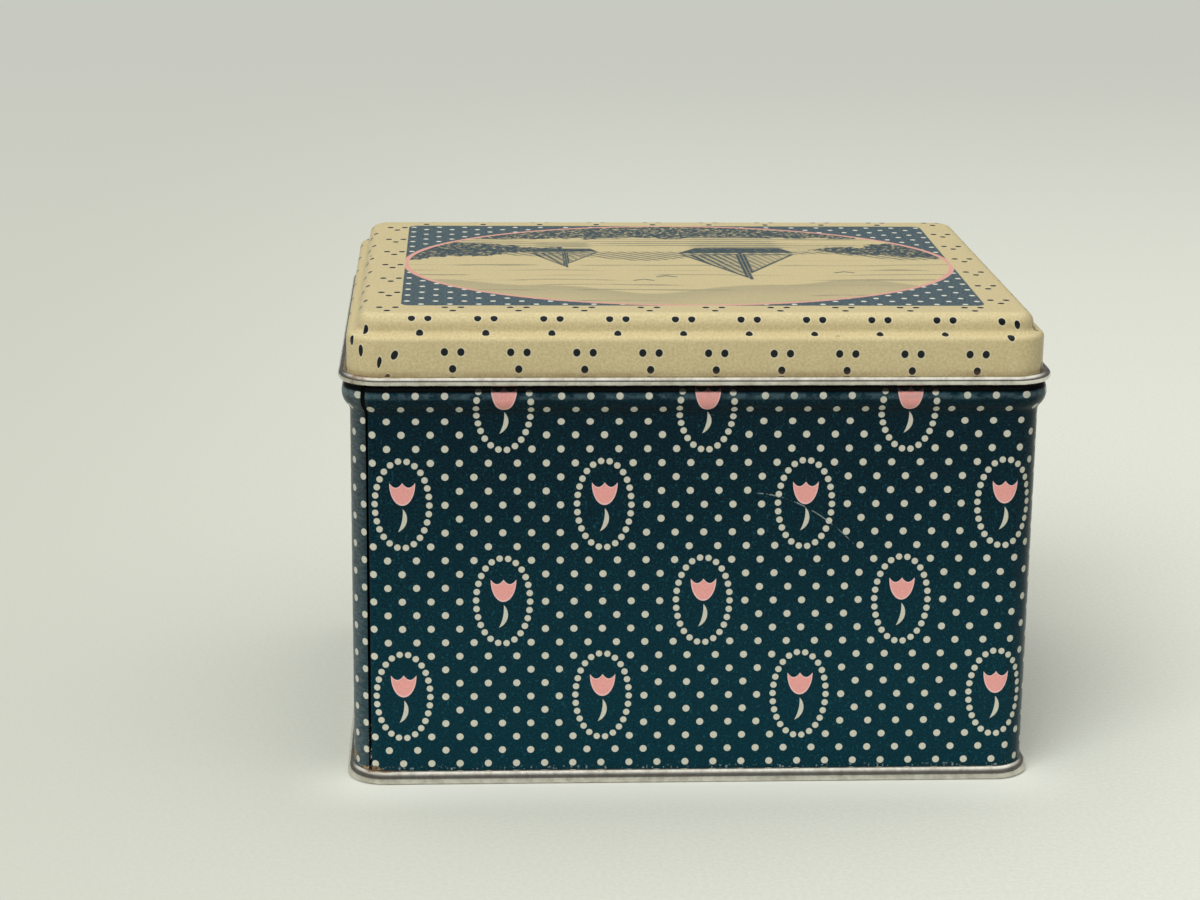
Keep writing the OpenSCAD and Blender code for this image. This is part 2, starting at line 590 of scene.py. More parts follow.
def stem(s, dx, dy):
    """How far outside the crescent stem a place lies"""
    (ox, oy), outer = STEM_OUTER
    (ix, iy), inner = STEM_INNER
    return s.most(s.length(dx - ox, dy - oy) - outer, inner - s.length(dx - ix, dy - iy))


def nearest_oval(s, x, y):
    """Offset from the centre of the nearest oval"""
    offsets = []
    for shift in (0, OVAL_STEP):
        dx = (x - OVAL_FIRST[0] - shift).within(OVAL_STEP)
        dy = (y - OVAL_FIRST[1] - shift).within(OVAL_STEP)
        offsets.append((dx, dy, s.length(dx / OVAL_A, dy / OVAL_B)))
    (ax, ay, a), (bx, by, b) = offsets
    other = s.maths("LESS_THAN", b, a)
    return ax + (bx - ax) * other, ay + (by - ay) * other


# A scratch and the worn, rusted foot of the seam, on the body's front
SCRATCH = (13.2, 35.2)
SCRATCH_Z = 67.6
SCRATCH_FALL = 0.045
SCRATCH_BEND = 0.0222
SEAM_FOOT = (-72.2, 3.0)
CORNER_FOOT = (-76.6, 5.2)


def scratch(s, x, y, z):
    """A thin bent line on the front wall, broken by noise"""
    across = x - SCRATCH[0]
    off = abs(z - SCRATCH_Z + across * SCRATCH_FALL + across * across * SCRATCH_BEND)
    ends = s.most(SCRATCH[0] - x, x - SCRATCH[1])
    on_line = s.inside(s.most(off - 0.13, ends), 0.2)
    left = s.ramp(s.noise(1.6, 2, 0.6, seed=6), 0.42, 0.56)
    return on_line * s.inside(y + HALF_D - 1, 0.5) * left


def worn_foot(s, x, y, z):
    """How worn the print is at the foot of the seam and of the left front corner"""
    rough_edge = s.noise(0.9, 3, 0.7, seed=9)
    seam = s.length((x - SEAM_FOOT[0]) * 0.45, (z - SEAM_FOOT[1]) * 1.3)
    corner = s.length(x - CORNER_FOOT[0], (z - CORNER_FOOT[1]) * 0.7)
    near = s.least(seam, corner) + (rough_edge - 0.5) * 2.6
    return s.ramp(near, 0.85, 1.35, 1.0, 0.0) * s.inside(y + CORNER_Y, 0.5)


def painted_corner_reflection(s, x, y):
    """How much painted reflection of the pale floor lies in upright streaks on the front corners,
    most at the left one
    """
    streaks = s.noise(1.6, 3, 0.7, stretch=(1, 1, 0.3), seed=18)
    left = s.ramp(x, 0.4 - HALF_W, 5.4 - HALF_W, 0.3, 0.0) * s.inside(x + HALF_W - 4.2, 0.4)
    right = s.ramp(x, HALF_W - 2.2, HALF_W - 0.5, 0.0, 0.14)
    return s.most(left, right) * s.inside(y + CORNER_Y, 2.0) * s.ramp(streaks, 0.3, 0.7, 0.35, 1.0)


def bead_sheen_and_rim_chips(s, z):
    """How much painted highlight lies in patches on the bead's crest, and how chipped the print is
    in small chips just over the rim
    """
    patches = s.noise(2.2, 3, 0.75, stretch=(1.6, 1, 1), seed=12)
    bead = s.ramp(abs(z - BEAD_Z - 0.4), 0.2, 1.05, 1.0, 0.0)
    bead = bead * s.ramp(patches, 0.36, 0.62, 0.1, 1.0)
    spots = s.noise(0.55, 1, 0.5, seed=14)
    return bead, s.ramp(z, RIM_H + 0.2, RIM_H + 1.0, 1.0, 0.0) * s.ramp(spots, 0.62, 0.66)


def painted_shade_under_curl(s, z):
    """How much painted shade darkens the bead, almost to black, in the line where the lid's rolled
    edge rests on it
    """
    start = s.ramp(z, BEAD_Z + 1.0, BEAD_Z + 1.5, 0.0, 0.96)
    return start * s.ramp(z, BEAD_Z + 2.8, BEAD_Z + 3.6, 1.0, 0.0)


# The body's colours, from dark to light where there are two
NAVY = (linear(0, 15, 27), linear(2, 54, 66))
NAVY_SPECK = linear(28, 88, 100)
NAVY_CLOUD = linear(0, 32, 44)
# Painted light low on the wall and painted shade high on it
NAVY_PAINTED_LIGHT = linear(6, 70, 82)
NAVY_PAINTED_SHADE = linear(0, 8, 14)
DOT_INK = (linear(195, 194, 176), linear(210, 209, 193))
TULIP_INK = (linear(228, 155, 148), linear(238, 171, 163))
TULIP_EDGE = linear(240, 200, 196)
# Painted highlight, for the bead's crest
PAINTED_BEAD_SHEEN = linear(120, 150, 158)
# Painted reflection, for the front corners
PAINTED_CORNER_REFLECTION = linear(150, 160, 158)
# Painted shade, for the line under the lid's rolled edge
PAINTED_SHADE_UNDER_CURL = linear(1, 2, 2)
SCRAPED = linear(150, 165, 165)
RUSTED = (linear(60, 44, 32), linear(176, 152, 112))


def printed_body():
    """Navy ink with dots and tulips in ovals of dots, glossy, with painted light and shade: paler
    low on the wall, darker high on it and nearly black over the bead, a painted highlight on the
    bead and painted reflection on the front corners. Worn at the foot
    """
    s = Surface("printed_body")
    x, y = s.print_place()
    own_x, own_y, own_z = s.own_place()
    dx, dy = nearest_oval(s, x, y)
    clearing = s.length(dx / CLEAR_A, dy / CLEAR_B) + s.maths("GREATER_THAN", y, OVAL_END) * 9
    dots = s.inside(s.most(staggered_dots(s, x, y) - DOT_R, 1 - clearing))
    ring = s.inside(s.most(oval_of_dots(s, dx, dy), clearing - 1))
    cup = s.least(tulip_cup(s, dx, dy), 1 - clearing)
    cream = s.most(s.most(dots, ring), s.inside(s.most(stem(s, dx, dy), clearing - 1)))

    grain = s.noise(0.42, 2, 0.75)
    specks = s.noise(0.6, 1, 0.5, seed=7)
    clouds = s.noise(6, 3, 0.6, seed=3)
    ground = s.mix(s.ramp(grain, 0.34, 0.68), *NAVY)
    ground = s.mix(s.ramp(specks, 0.6, 0.75, 0, 0.6), ground, NAVY_SPECK)
    ground = s.mix(s.ramp(clouds, 0.3, 0.75, 0, 0.35), ground, NAVY_CLOUD)
    # Painted light and shade: the ground is paler towards the foot and darker towards the top, up to
    # the bead
    ground = s.mix(s.ramp(own_z, 10, 80, 0.22, 0.0), ground, NAVY_PAINTED_LIGHT)
    ground = s.mix(s.ramp(own_z, 35, 90, 0.0, 0.3), ground, NAVY_PAINTED_SHADE)
    ink = s.mix(s.ramp(grain, 0.3, 0.7), *DOT_INK)
    colour = s.mix(cream, ground, ink)
    blush = s.mix(s.ramp(grain, 0.3, 0.7), *TULIP_INK)
    pink = s.mix(s.inside(cup - 0.06, 0.09), blush, TULIP_EDGE)
    colour = s.mix(s.inside(-cup, 0.03), colour, pink)

    bead, chips = bead_sheen_and_rim_chips(s, own_z)
    # Painted highlight: a paler patchy band on the bead's crest stands in for the light that the
    # bead reflects
    colour = s.mix(bead * 0.25, colour, PAINTED_BEAD_SHEEN)
    # Painted reflection: paler upright streaks on the front corners stand in for the pale floor that
    # they reflect
    colour = s.mix(painted_corner_reflection(s, own_x, own_y), colour, PAINTED_CORNER_REFLECTION)
    # Painted shade: a nearly black band above the bead's crest, under the lid's rolled edge
    colour = s.mix(painted_shade_under_curl(s, own_z), colour, PAINTED_SHADE_UNDER_CURL)
    chips = s.most(scratch(s, own_x, own_y, own_z), chips)
    colour = s.mix(chips * 0.7, colour, SCRAPED)
    worn = worn_foot(s, own_x, own_y, own_z)
    colour = s.mix(worn, colour, s.mix(s.ramp(grain, 0.35, 0.65), *RUSTED))

    roughness = s.ramp(clouds, 0.2, 0.8, 0.2, 0.3) + worn * 0.35
    relief = s.noise(1.1, 2, 0.5, seed=8) * 0.6 + grain * 0.3 - worn * 0.6
    return s.finish(colour, roughness, s.bump(relief, 0.016), gloss=0.09)


# The lid's print in millimetres from its middle
GROUP_X = 14.33
GROUP_Y = 15.81
GROUP_FIRST = (-67.58, -48.8)
PAIR_HALF = 1.775
SINGLE_Y = -3.41
LID_DOT_R = 0.8
PANEL_HALF = (64.7, 47.8)
PANEL_Y = 0.9
PANEL_CORNER_R = 2.2
OVAL_HALF = (65.2, 48.0)
RING_W = 1.25
PANEL_DOT_FIRST = (-57.1, -42.3)
PANEL_DOT_R = 0.66


def three_dots(s, x, y):
    """Distance to the nearest dot of the staggered groups of three"""
    nearest = None
    for shift in (0, 0.5):
        dx = (x - GROUP_FIRST[0] - shift * GROUP_X).within(GROUP_X / 2)
        dy = (y - GROUP_FIRST[1] - shift * GROUP_Y).within(GROUP_Y / 2)
        pair = s.length(abs(dx) - PAIR_HALF, dy)
        group = s.least(pair, s.length(dx, dy - SINGLE_Y))
        nearest = group if nearest is None else s.least(nearest, group)
    return nearest


# The picture in the oval, with u to its right and v up. It stands upside down in the photograph
WATER_V = -14.0
BOATS = ((-15.0, 14.0), (27.0, 8.5))
HULL = ((-1.0, 0.22), (-0.78, -0.2), (0.7, -0.2), (1.05, 0.3))
MAINSAIL = ((0.02, 0.36), (0.95, 0.42), (0.02, 2.3))
JIB = ((-0.92, 0.4), (-0.1, 0.36), (-0.1, 1.9))
BIRDS = ((4.0, 15.0), (9.5, 19.0), (-38.0, 10.0))


def polygon_depth(s, u, v, corners):
    """How deep inside a convex polygon a place lies, for corners in anticlockwise order"""
    depth = None
    for (u0, v0), (u1, v1) in zip(corners, corners[1:] + corners[:1]):
        size = math.dist((u0, v0), (u1, v1))
        side = ((u0 - u) * (v1 - v0) + (v - v0) * (u1 - u0)) / size
        depth = side if depth is None else s.least(depth, side)
    return depth


def boats(s, u, v, fine):
    """Ink of two sailing boats and of their reflections"""
    (u0, size0), (u1, size1) = BOATS
    second = s.maths("GREATER_THAN", u, (u0 + u1) / 2)
    size = second * (size1 - size0) + size0
    du = (u - second * (u1 - u0) - u0) / size
    dv = (v - WATER_V + 2) / size
    hull = s.inside(-polygon_depth(s, du, dv, HULL), 0.05)
    main = polygon_depth(s, du, dv, MAINSAIL)
    jib = polygon_depth(s, du, dv, JIB)
    sails = s.most(main, jib)
    edge = s.inside(abs(sails) - 0.03, 0.04)
    weave = s.ramp((u * 3.4 + v * 1.1).sin() + (fine - 0.5) * 2, -0.5, 0.6, 0.35, 1.0)
    shade = s.ramp(du, -0.9, 0.8, 0.45, 1.0) * weave * s.inside(-sails, 0.04)
    mast = s.inside(s.most(abs(du + 0.04) - 0.03, abs(dv - 1.3) - 1.2), 0.03)
    mirrored = s.inside(s.most(abs(du) - 0.75, abs(dv + 0.75) - 0.5), 0.3)
    mirrored = mirrored * s.ramp((v * 2.7).sin(), -0.2, 0.4)
    return s.most(s.most(hull, mast), s.most(s.most(edge, shade), mirrored * 0.6))


def birds(s, u, v):
    """Ink of a few far birds, each a bent line"""
    ink = None
    for u0, v0 in BIRDS:
        wing = abs(abs(u - u0) * 0.55 - (v - v0)) - 0.35
        bird = s.inside(s.most(wing, abs(u - u0) - 2.4), 0.2)
        ink = bird if ink is None else s.most(ink, bird)
    return ink


def shore(s, u, v, fine):
    """Ink of the hills behind the water and of the bushes on its banks"""
    hill = (u * 0.085 + 0.8).sin() * 3.4 + (u * 0.21).sin() * 1.4 + WATER_V + 6.5
    hatching = s.ramp((u * 2.1 + v * 2.4).sin() + fine, -0.2, 0.9)
    hills = s.inside(s.most(v - hill, WATER_V - v), 0.4) * hatching
    lump = s.noise(8, 3, 0.6, seed=21)
    bank = (abs(u + 3) - 26) * 0.3 - abs(v + 16.5) + (lump - 0.5) * 17
    bushes = s.inside(-bank, 0.8) * s.ramp(fine, 0.3, 0.5, 0.25, 1.0)
    low_bank = s.inside(v + 31 + (lump - 0.5) * 12, 1.2) * s.ramp(fine, 0.3, 0.52, 0.1, 1.0)
    return s.most(hills * 0.7, s.most(bushes, low_bank))


def sky(s, u, v, streaks):
    """Ink of long thin clouds, and of a bank of cloud near the top of the picture"""
    lines = s.ramp((v * 1.1 + streaks * 9).sin(), 0.72, 0.98) * s.ramp(streaks, 0.46, 0.56)
    lines = lines * s.inside(WATER_V + 12 - v, 6.0)
    edge = v - 27 - (u * 0.07 + 1.0).sin() * 6 - (u * 0.19).sin() * 2
    cloud = s.inside(-edge, 1.0) * s.ramp(edge, 0, 16, 0.3, 0.16)
    return s.most(lines * 0.5, cloud)


def engraving(s, u, v):
    """Ink of the whole picture, from 0 to 1"""
    fine = s.noise(1.1, 2, 0.7, seed=31)
    streaks = s.noise(9, 2, 0.5, stretch=(4, 1, 1), seed=41)
    ripples = s.ramp((v * 2.4 + streaks * 7).sin(), 0.2, 0.75) * s.inside(v - WATER_V, 0.4)
    water = ripples * s.ramp(streaks, 0.42, 0.58) * 0.7
    low = s.most(shore(s, u, v, fine), water)
    high = s.most(sky(s, u, v, streaks), birds(s, u, v))
    ink = s.most(s.most(low, high), boats(s, u, v, fine))
    return ink * s.ramp(fine, 0.25, 0.5, 0.7, 1.0)


# Where the chips on the lid's step lie, seen from above, and their sizes
LID_CHIPS = ((74.6, -52.6, 0.9), (-74.0, 6.5, 0.6), (-73.2, 11.0, 0.6), (30.0, -57.6, 0.5))


def chips_and_grime(s, x, y, z):
    """Dark chips on the lid's step and brown grime in the fold above the rolled edge"""
    rough_edge = s.noise(0.8, 3, 0.7, seed=15)
    marks = None
    for chip_x, chip_y, size in LID_CHIPS:
        off = s.length(x - chip_x, y - chip_y) - size
        marks = off if marks is None else s.least(marks, off)
    marks = s.ramp(marks + (rough_edge - 0.5) * 3.0, -0.5, -0.1, 1.0, 0.0)
    patches = s.noise(14, 2, 0.5, stretch=(1, 1, 4), seed=17)
    fold = s.ramp(z, CURL_Z + 1.0, CURL_Z + 2.4, 1.0, 0.0) * s.ramp(z, CURL_Z + 0.6, CURL_Z + 1.1)
    fold = fold * s.ramp(patches, 0.3, 0.6, 0.25, 1.0)
    return marks, fold * s.ramp(rough_edge, 0.25, 0.6, 0.3, 1.0)


# The lid's colours, from dark to light where there are two
CREAM = (linear(196, 180, 134), linear(218, 204, 159))
CREAM_CLOUD = linear(197, 180, 134)
LID_DOT_INK = linear(2, 14, 18)
LID_DOT_HALO = linear(222, 214, 186)
PANEL_INK = (linear(30, 54, 66), linear(92, 112, 118))
PANEL_DOT_INK = linear(222, 220, 206)
PICTURE_INK = (linear(30, 52, 64), linear(66, 86, 92))
RING_INK = linear(222, 164, 150)
GRIMED = linear(134, 106, 70)
CHIPPED = linear(58, 42, 30)


def lid_panel(s, x, y, cream, grain):
    """The dotted panel with the picture in its oval, and where it lies"""
    px = abs(x) - (PANEL_HALF[0] - PANEL_CORNER_R)
    py = abs(y - PANEL_Y) - (PANEL_HALF[1] - PANEL_CORNER_R)
    edge = s.length(s.most(px, 0), s.most(py, 0)) + s.least(s.most(px, py), 0) - PANEL_CORNER_R
    dot_x, dot_y = (x - PANEL_DOT_FIRST[0]) / HALF_STEP, (y - PANEL_DOT_FIRST[1]) / HALF_STEP
    dots = staggered_dots(s, dot_x, dot_y) * HALF_STEP - PANEL_DOT_R
    blue = s.mix(s.ramp(grain, 0.36, 0.64), *PANEL_INK)
    blue = s.mix(s.inside(dots, 0.12), blue, PANEL_DOT_INK)
    oval = s.length(x / OVAL_HALF[0], (y - PANEL_Y) / OVAL_HALF[1])
    steep = s.length(x / OVAL_HALF[0] ** 2, (y - PANEL_Y) / OVAL_HALF[1] ** 2) / oval
    depth = (1 - oval) / steep
    picture = s.mix(engraving(s, -x, PANEL_Y - y), cream, s.mix(grain, *PICTURE_INK))
    inner = s.mix(s.inside(depth - RING_W, 0.2), picture, RING_INK)
    return s.mix(s.inside(-depth, 0.2), blue, inner), s.inside(edge, 0.15)


def printed_lid():
    """Cream ink with groups of three dots and the panel with the picture, a little brushed"""
    s = Surface("printed_lid")
    x, y = s.print_place()
    own_x, own_y, own_z = s.own_place()
    grain = s.noise(0.5, 3, 0.6)
    clouds = s.noise(9, 3, 0.6, seed=4)
    cream = s.mix(s.ramp(grain, 0.25, 0.75), *CREAM)
    cream = s.mix(s.ramp(clouds, 0.35, 0.8, 0, 0.3), cream, CREAM_CLOUD)
    group = three_dots(s, x, y)
    halo = s.ramp(group, LID_DOT_R, LID_DOT_R + 0.35, 0.75, 0.0)
    colour = s.mix(halo, cream, LID_DOT_HALO)
    colour = s.mix(s.inside(group - LID_DOT_R, 0.1), colour, LID_DOT_INK)
    panel, on_panel = lid_panel(s, x, y, cream, grain)
    colour = s.mix(on_panel, colour, panel)

    chips, grime = chips_and_grime(s, own_x, own_y, own_z)
    colour = s.mix(grime * 0.5, colour, GRIMED)
    colour = s.mix(chips * 0.9, colour, CHIPPED)

    roughness = s.ramp(clouds, 0.2, 0.8, 0.32, 0.42) + chips * 0.3
    brushed = s.noise(0.9, 3, 0.6, stretch=(3, 1, 1), seed=8)
    relief = brushed * 0.8 + grain * 0.35 - chips * 0.8
    return s.finish(colour, roughness, s.bump(relief, 0.03), gloss=0.3)


def bare_tinplate():
    """Bright metal with dull patches, and rust at the foot of the left front"""
    s = Surface("bare_tinplate")
    x, y, z = s.own_place()
    dull = s.noise(2.5, 4, 0.65)
    fine = s.noise(0.25, 2, 0.6, seed=2)
    colour = s.mix(s.ramp(dull, 0.3, 0.75), linear(222, 219, 210), linear(184, 179, 168))
    foot = s.length((x + 70) * 0.22, y + HALF_D) * s.ramp(z, 2.3, 2.9, 3.0, 1.0)
    rust = s.ramp(foot + (dull - 0.5) * 4, 0.6, 1.8, 1.0, 0.0)
    colour = s.mix(rust * 0.8, colour, linear(140, 108, 70))
    roughness = s.ramp(dull, 0.25, 0.8, 0.1, 0.2) + rust * 0.35
    return s.finish(colour, roughness, s.bump(fine, 0.006), metallic=1.0)


def inside_tinplate():
    """Duller metal with fine upright lines"""
    s = Surface("inside_tinplate")
    dull = s.noise(5, 4, 0.6)
    lines = s.noise(0.2, 2, 0.5, stretch=(20, 20, 1))
    colour = s.mix(s.ramp(dull, 0.3, 0.75), linear(206, 200, 186), linear(186, 178, 162))
    roughness = s.ramp(dull, 0.3, 0.8, 0.3, 0.42)
    return s.finish(colour, roughness, s.bump(lines, 0.004), metallic=0.7)


def painted_seam_shade():
    """Painted shade in the seam's gap, nearly black, with pale flakes low down"""
    s = Surface("painted_seam_shade")
    x, y, z = s.own_place()
    grime = s.noise(0.5, 3, 0.6)
    # Painted shade: the gap's colour is nearly black, darker than its depth alone shades it
    colour = s.mix(s.ramp(grime, 0.4, 0.7), linear(0, 3, 5), linear(8, 12, 14))
    flakes = s.ramp(grime, 0.56, 0.6) * s.ramp(z, 10, 16, 1.0, 0.0)
    colour = s.mix(flakes * 0.8, colour, linear(190, 184, 170))
    return s.finish(colour, s.ramp(grime, 0.3, 0.7, 0.7, 0.9), s.bump(grime, 0.03), gloss=0.1)


# The body's wall

def seam_half_turn(z):
    """Half the angle round the corner that the seam's gap takes up at a height"""
    width = SEAM_LOW_W + (SEAM_HIGH_W - SEAM_LOW_W) * smooth(z, 20, BEAD_LOW - 8)
    width += (SEAM_BEAD_W - SEAM_HIGH_W) * smooth(z, BEAD_LOW - 5, BEAD_LOW + 3)
    return math.degrees(width / 2 / CORNER_R)


def seam_depth(z):
    """How deep the seam's gap is at a height"""
    deep = SEAM_DEPTH + (SEAM_BEAD_DEPTH - SEAM_DEPTH) * smooth(z, BEAD_LOW - 4, BEAD_LOW)
    return deep * (1 - smooth(z, BEAD_HIGH + 2, MOUTH_Z - SHEET_T))


def by_seam(station, z):
    """The station, moved so that the left front corner makes room for the seam's gap"""
    half = seam_half_turn(z)
    end = SEAM_TURN + 360
    if station.in_gap:
        angle = end - half if station.angle < end else end + half
        return Station(station.centre, angle, ROUND, True)
    if station.angle < FRONT_ANGLE:
        angle = FRONT_ANGLE - (FRONT_ANGLE - station.angle) * (1 - half / SEAM_ANGLE)
        return Station(station.centre, angle, math.radians(angle - SEAM_TURN) * CORNER_R)
    if station.angle > LEFT_ANGLE:
        angle = LEFT_ANGLE + (station.angle - LEFT_ANGLE) * (1 - half / (90 - SEAM_ANGLE))
        return Station(station.centre, angle, ROUND - math.radians(end - angle) * CORNER_R)
    return station


def outer_wall(station, point):
    """A point of the outer face, sunk in the seam's gap and raised by the strip behind it"""
    x, z = point
    moved = by_seam(station, z)
    if moved.in_gap:
        x -= seam_depth(z)
    elif moved.angle > LEFT_ANGLE:
        by_edge = 1 - smooth(ROUND - moved.run, 0, STRIP_W)
        x += STRIP_PROUD * by_edge * (1 - smooth(z, BEAD_LOW - 3, BEAD_LOW))
    return moved.place(x, z)


def inner_wall(station, point):
    """A point of the inner face, which stands further in at the strip behind the seam"""
    x, z = point
    moved = by_seam(station, z)
    behind = moved.in_gap or min(moved.run, ROUND - moved.run) < STRIP_W / 2
    if behind and STRIP_LOW < z < BEAD_LOW:
        x -= STRIP_T
    return moved.place(x, z)


def wall_face(depth, low, high):
    """The wall's face at a depth under its outer one, from low up to high over the bead"""
    return path(
        line((-depth, low), (-depth, BEAD_LOW)),
        arc((BEAD_FILLET_R, BEAD_LOW), BEAD_FILLET_R + depth, 180, 180 - BEAD_ANGLE, 8),
        arc((BEAD_X, BEAD_Z), BEAD_R - depth, -BEAD_ANGLE, BEAD_ANGLE, 24),
        arc((BEAD_FILLET_R, BEAD_HIGH), BEAD_FILLET_R + depth, 180 + BEAD_ANGLE, 180, 8),
        line((-depth, BEAD_HIGH), (-depth, high)))


# How much lower the print lies at the bead's lower fillet, and how much of it is left under that
BEAD_SLIP = 0.38
BEAD_SLIP_LEFT = 0.08


def bead_slip(z):
    """How much lower the print lies than it would if it followed the sheet"""
    back = BEAD_SLIP - BEAD_SLIP_LEFT
    return (BEAD_SLIP * smooth(z, BEAD_Z, BEAD_LOW + 1.4)
            - back * smooth(z, BEAD_LOW + 0.6, BEAD_LOW - 3))


def make_body(materials):
    """The wall: its outer face, the fold at the mouth, its inner face and the flange"""
    fold_z = MOUTH_Z - SHEET_T
    flange_top = FLANGE_Z + SHEET_T
    under = line((-SHEET_T, FLANGE_Z), (FLANGE_W, FLANGE_Z), 0.5)
    outer = path([(FLANGE_W, FLANGE_Z), (FLANGE_W, flange_top)],
                 arc((FLANGE_BEND_R, flange_top + FLANGE_BEND_R), FLANGE_BEND_R, 270, 180, 4),
                 wall_face(0, flange_top + FLANGE_BEND_R, fold_z))
    fold = path(arc((-SHEET_T, fold_z), SHEET_T, 0, 180, 8),
                line((-2 * SHEET_T, fold_z), (-2 * SHEET_T, fold_z - HEM_H)),
                [(-SHEET_T, fold_z - HEM_H)])
    inner = wall_face(SHEET_T, FLANGE_Z, fold_z - HEM_H)[::-1]
    along = reach(outer)
    low = next(i for i, point in enumerate(outer) if point[0] == 0)
    heights = [outer[low][1] + far - along[low] for far in along]
    heights = [height + bead_slip(point[1]) for height, point in zip(heights, outer)]

    def printed(station, i, spot):
        run = by_seam(station, spot[2]).run
        x = PRINT_START + run / HALF_STEP
        x += max(0, run - FRONT_END) * (STRETCH - 1) / HALF_STEP
        return (x, (PRINT_FOOT - heights[i] / HALF_STEP) / PRINT_ROW)

    def printed_fold(station, i, spot):
        return printed(station, -1, spot)

    def baked(here, station, i, spot):
        row = 0 if here.run < ROUND / 2 else 1
        return ((station.run - row * ROUND / 2 + 2) * WALL_BAKE,
                0.005 + row * (WALL_ROW + 0.01) + along[i] * WALL_BAKE)

    stations = stations_round()
    end = stations[-1]
    closing = Station(end.centre, end.angle, ROUND)
    stations += [Station(end.centre, end.angle + side, ROUND, True) for side in (-1, 1)]
    runs = [strip_run(under, INSIDE_SLOT, 0.83, 0.835, place=inner_wall),
            Run(outer, PRINT_SLOT, printed, baked, outer_wall),
            strip_run(fold, PRINT_SLOT, 0.84, 0.845, printed_fold, inner_wall),
            strip_run(inner, INSIDE_SLOT, 0.85, 0.99, place=inner_wall)]
    return sweep("tin_body", stations, closing, runs, materials, closed=True)


# The base

def rim_section(depth):
    """The rim's outer face from its foot to its top, or a face that lies deeper by depth.
    It is fullest low down, leans inwards above and is flatter there than a half circle"""
    low = (RIM_OUT - RIM_LOW_R, RIM_LOW_R)
    face = (RIM_OUT - RIM_FACE_R, RIM_LOW_R)
    back = RIM_FACE_R - RIM_TOP_R
    top = (face[0] + back * math.cos(math.radians(RIM_FACE_ANGLE)), face[1] + back * RIM_FACE_SINE)
    return path(arc(low, RIM_LOW_R - depth, 270, 360, 14),
                arc(face, RIM_FACE_R - depth, 0, RIM_FACE_ANGLE, 16),
                arc(top, RIM_TOP_R - depth, RIM_FACE_ANGLE, 90, 16))


def make_base(materials):
    """The recessed panel and the rim rolled round the body's flange"""
    chuck_in = CHUCK_X - SHEET_T
    down = path([(chuck_in, BASE_RECESS)],
                line((chuck_in, BASE_RECESS), (chuck_in, CHUCK_EDGE_R), 0.5),
                arc((chuck_in + CHUCK_EDGE_R, CHUCK_EDGE_R), CHUCK_EDGE_R, 180, 270, 4))
    rim = path(down[-1:], rim_section(0), [(RIM_INNER_X, RIM_H)])
    within = path(rim[-1:], [(RIM_INNER_X, RIM_H - SHEET_T)], rim_section(SHEET_T)[::-1],
                  line((CHUCK_X, SHEET_T), (CHUCK_X, BASE_RECESS + SHEET_T), 0.5))
    under_map = plan_bake(BASE_UNDER_BAKE_MIDDLE, BASE_BAKE)
    over_map = plan_bake(BASE_OVER_BAKE_MIDDLE, BASE_BAKE)
    runs = [cap_run(chuck_in, BASE_RECESS, METAL_SLOT, under_map, False),
            strip_run(down, METAL_SLOT, 0.42, 0.46),
            strip_run(rim, METAL_SLOT, 0.47, 0.8),
            strip_run(within, INSIDE_SLOT, 0.81, 0.9),
            cap_run(CHUCK_X, BASE_RECESS + SHEET_T, INSIDE_SLOT, over_map, True)]
    stations = stations_round()
    return sweep("tin_base", stations[:-1], stations[-1], runs, materials)


# The lid

# How the print lies on the drawn sheet. Past the raised edge it lies SLIP further in than the way
# along the sheet gives, and from SLIP_BACK_FROM on SLIP_BACK less for each millimetre. At a corner
# the drawing stretches it by PULL times as much as the sheet's area gives, in full up to PULL_FULL
# from the corner's middle and not at all from PULL_END
SLIP = 0.7
SLIP_END = 2.6
SLIP_BACK = 0.09
SLIP_BACK_FROM = 4.6
PULL = 1.35
PULL_FULL = 1.5
PULL_END = QUARTER_TURN / 2 + 4.5
PRINT_TURN = math.radians(0.33)


def corner_pull(run):
    """How much of the drawing at a corner stretches the print, from 0 to 1"""
    middle = SEAM_RUN - QUARTER_TURN / 2
    nearest = ROUND
    for length in SIDES:
        away = abs(run - middle) % ROUND
        nearest = min(nearest, away, ROUND - away)
        middle += QUARTER_TURN + length
    return 1 - smooth(nearest, PULL_FULL, PULL_END)


def turned(spot):
    """A place on the lid's print, which lies turned a little on the lid"""
    return (spot[0] - PRINT_TURN * spot[1], spot[1] + PRINT_TURN * spot[0])


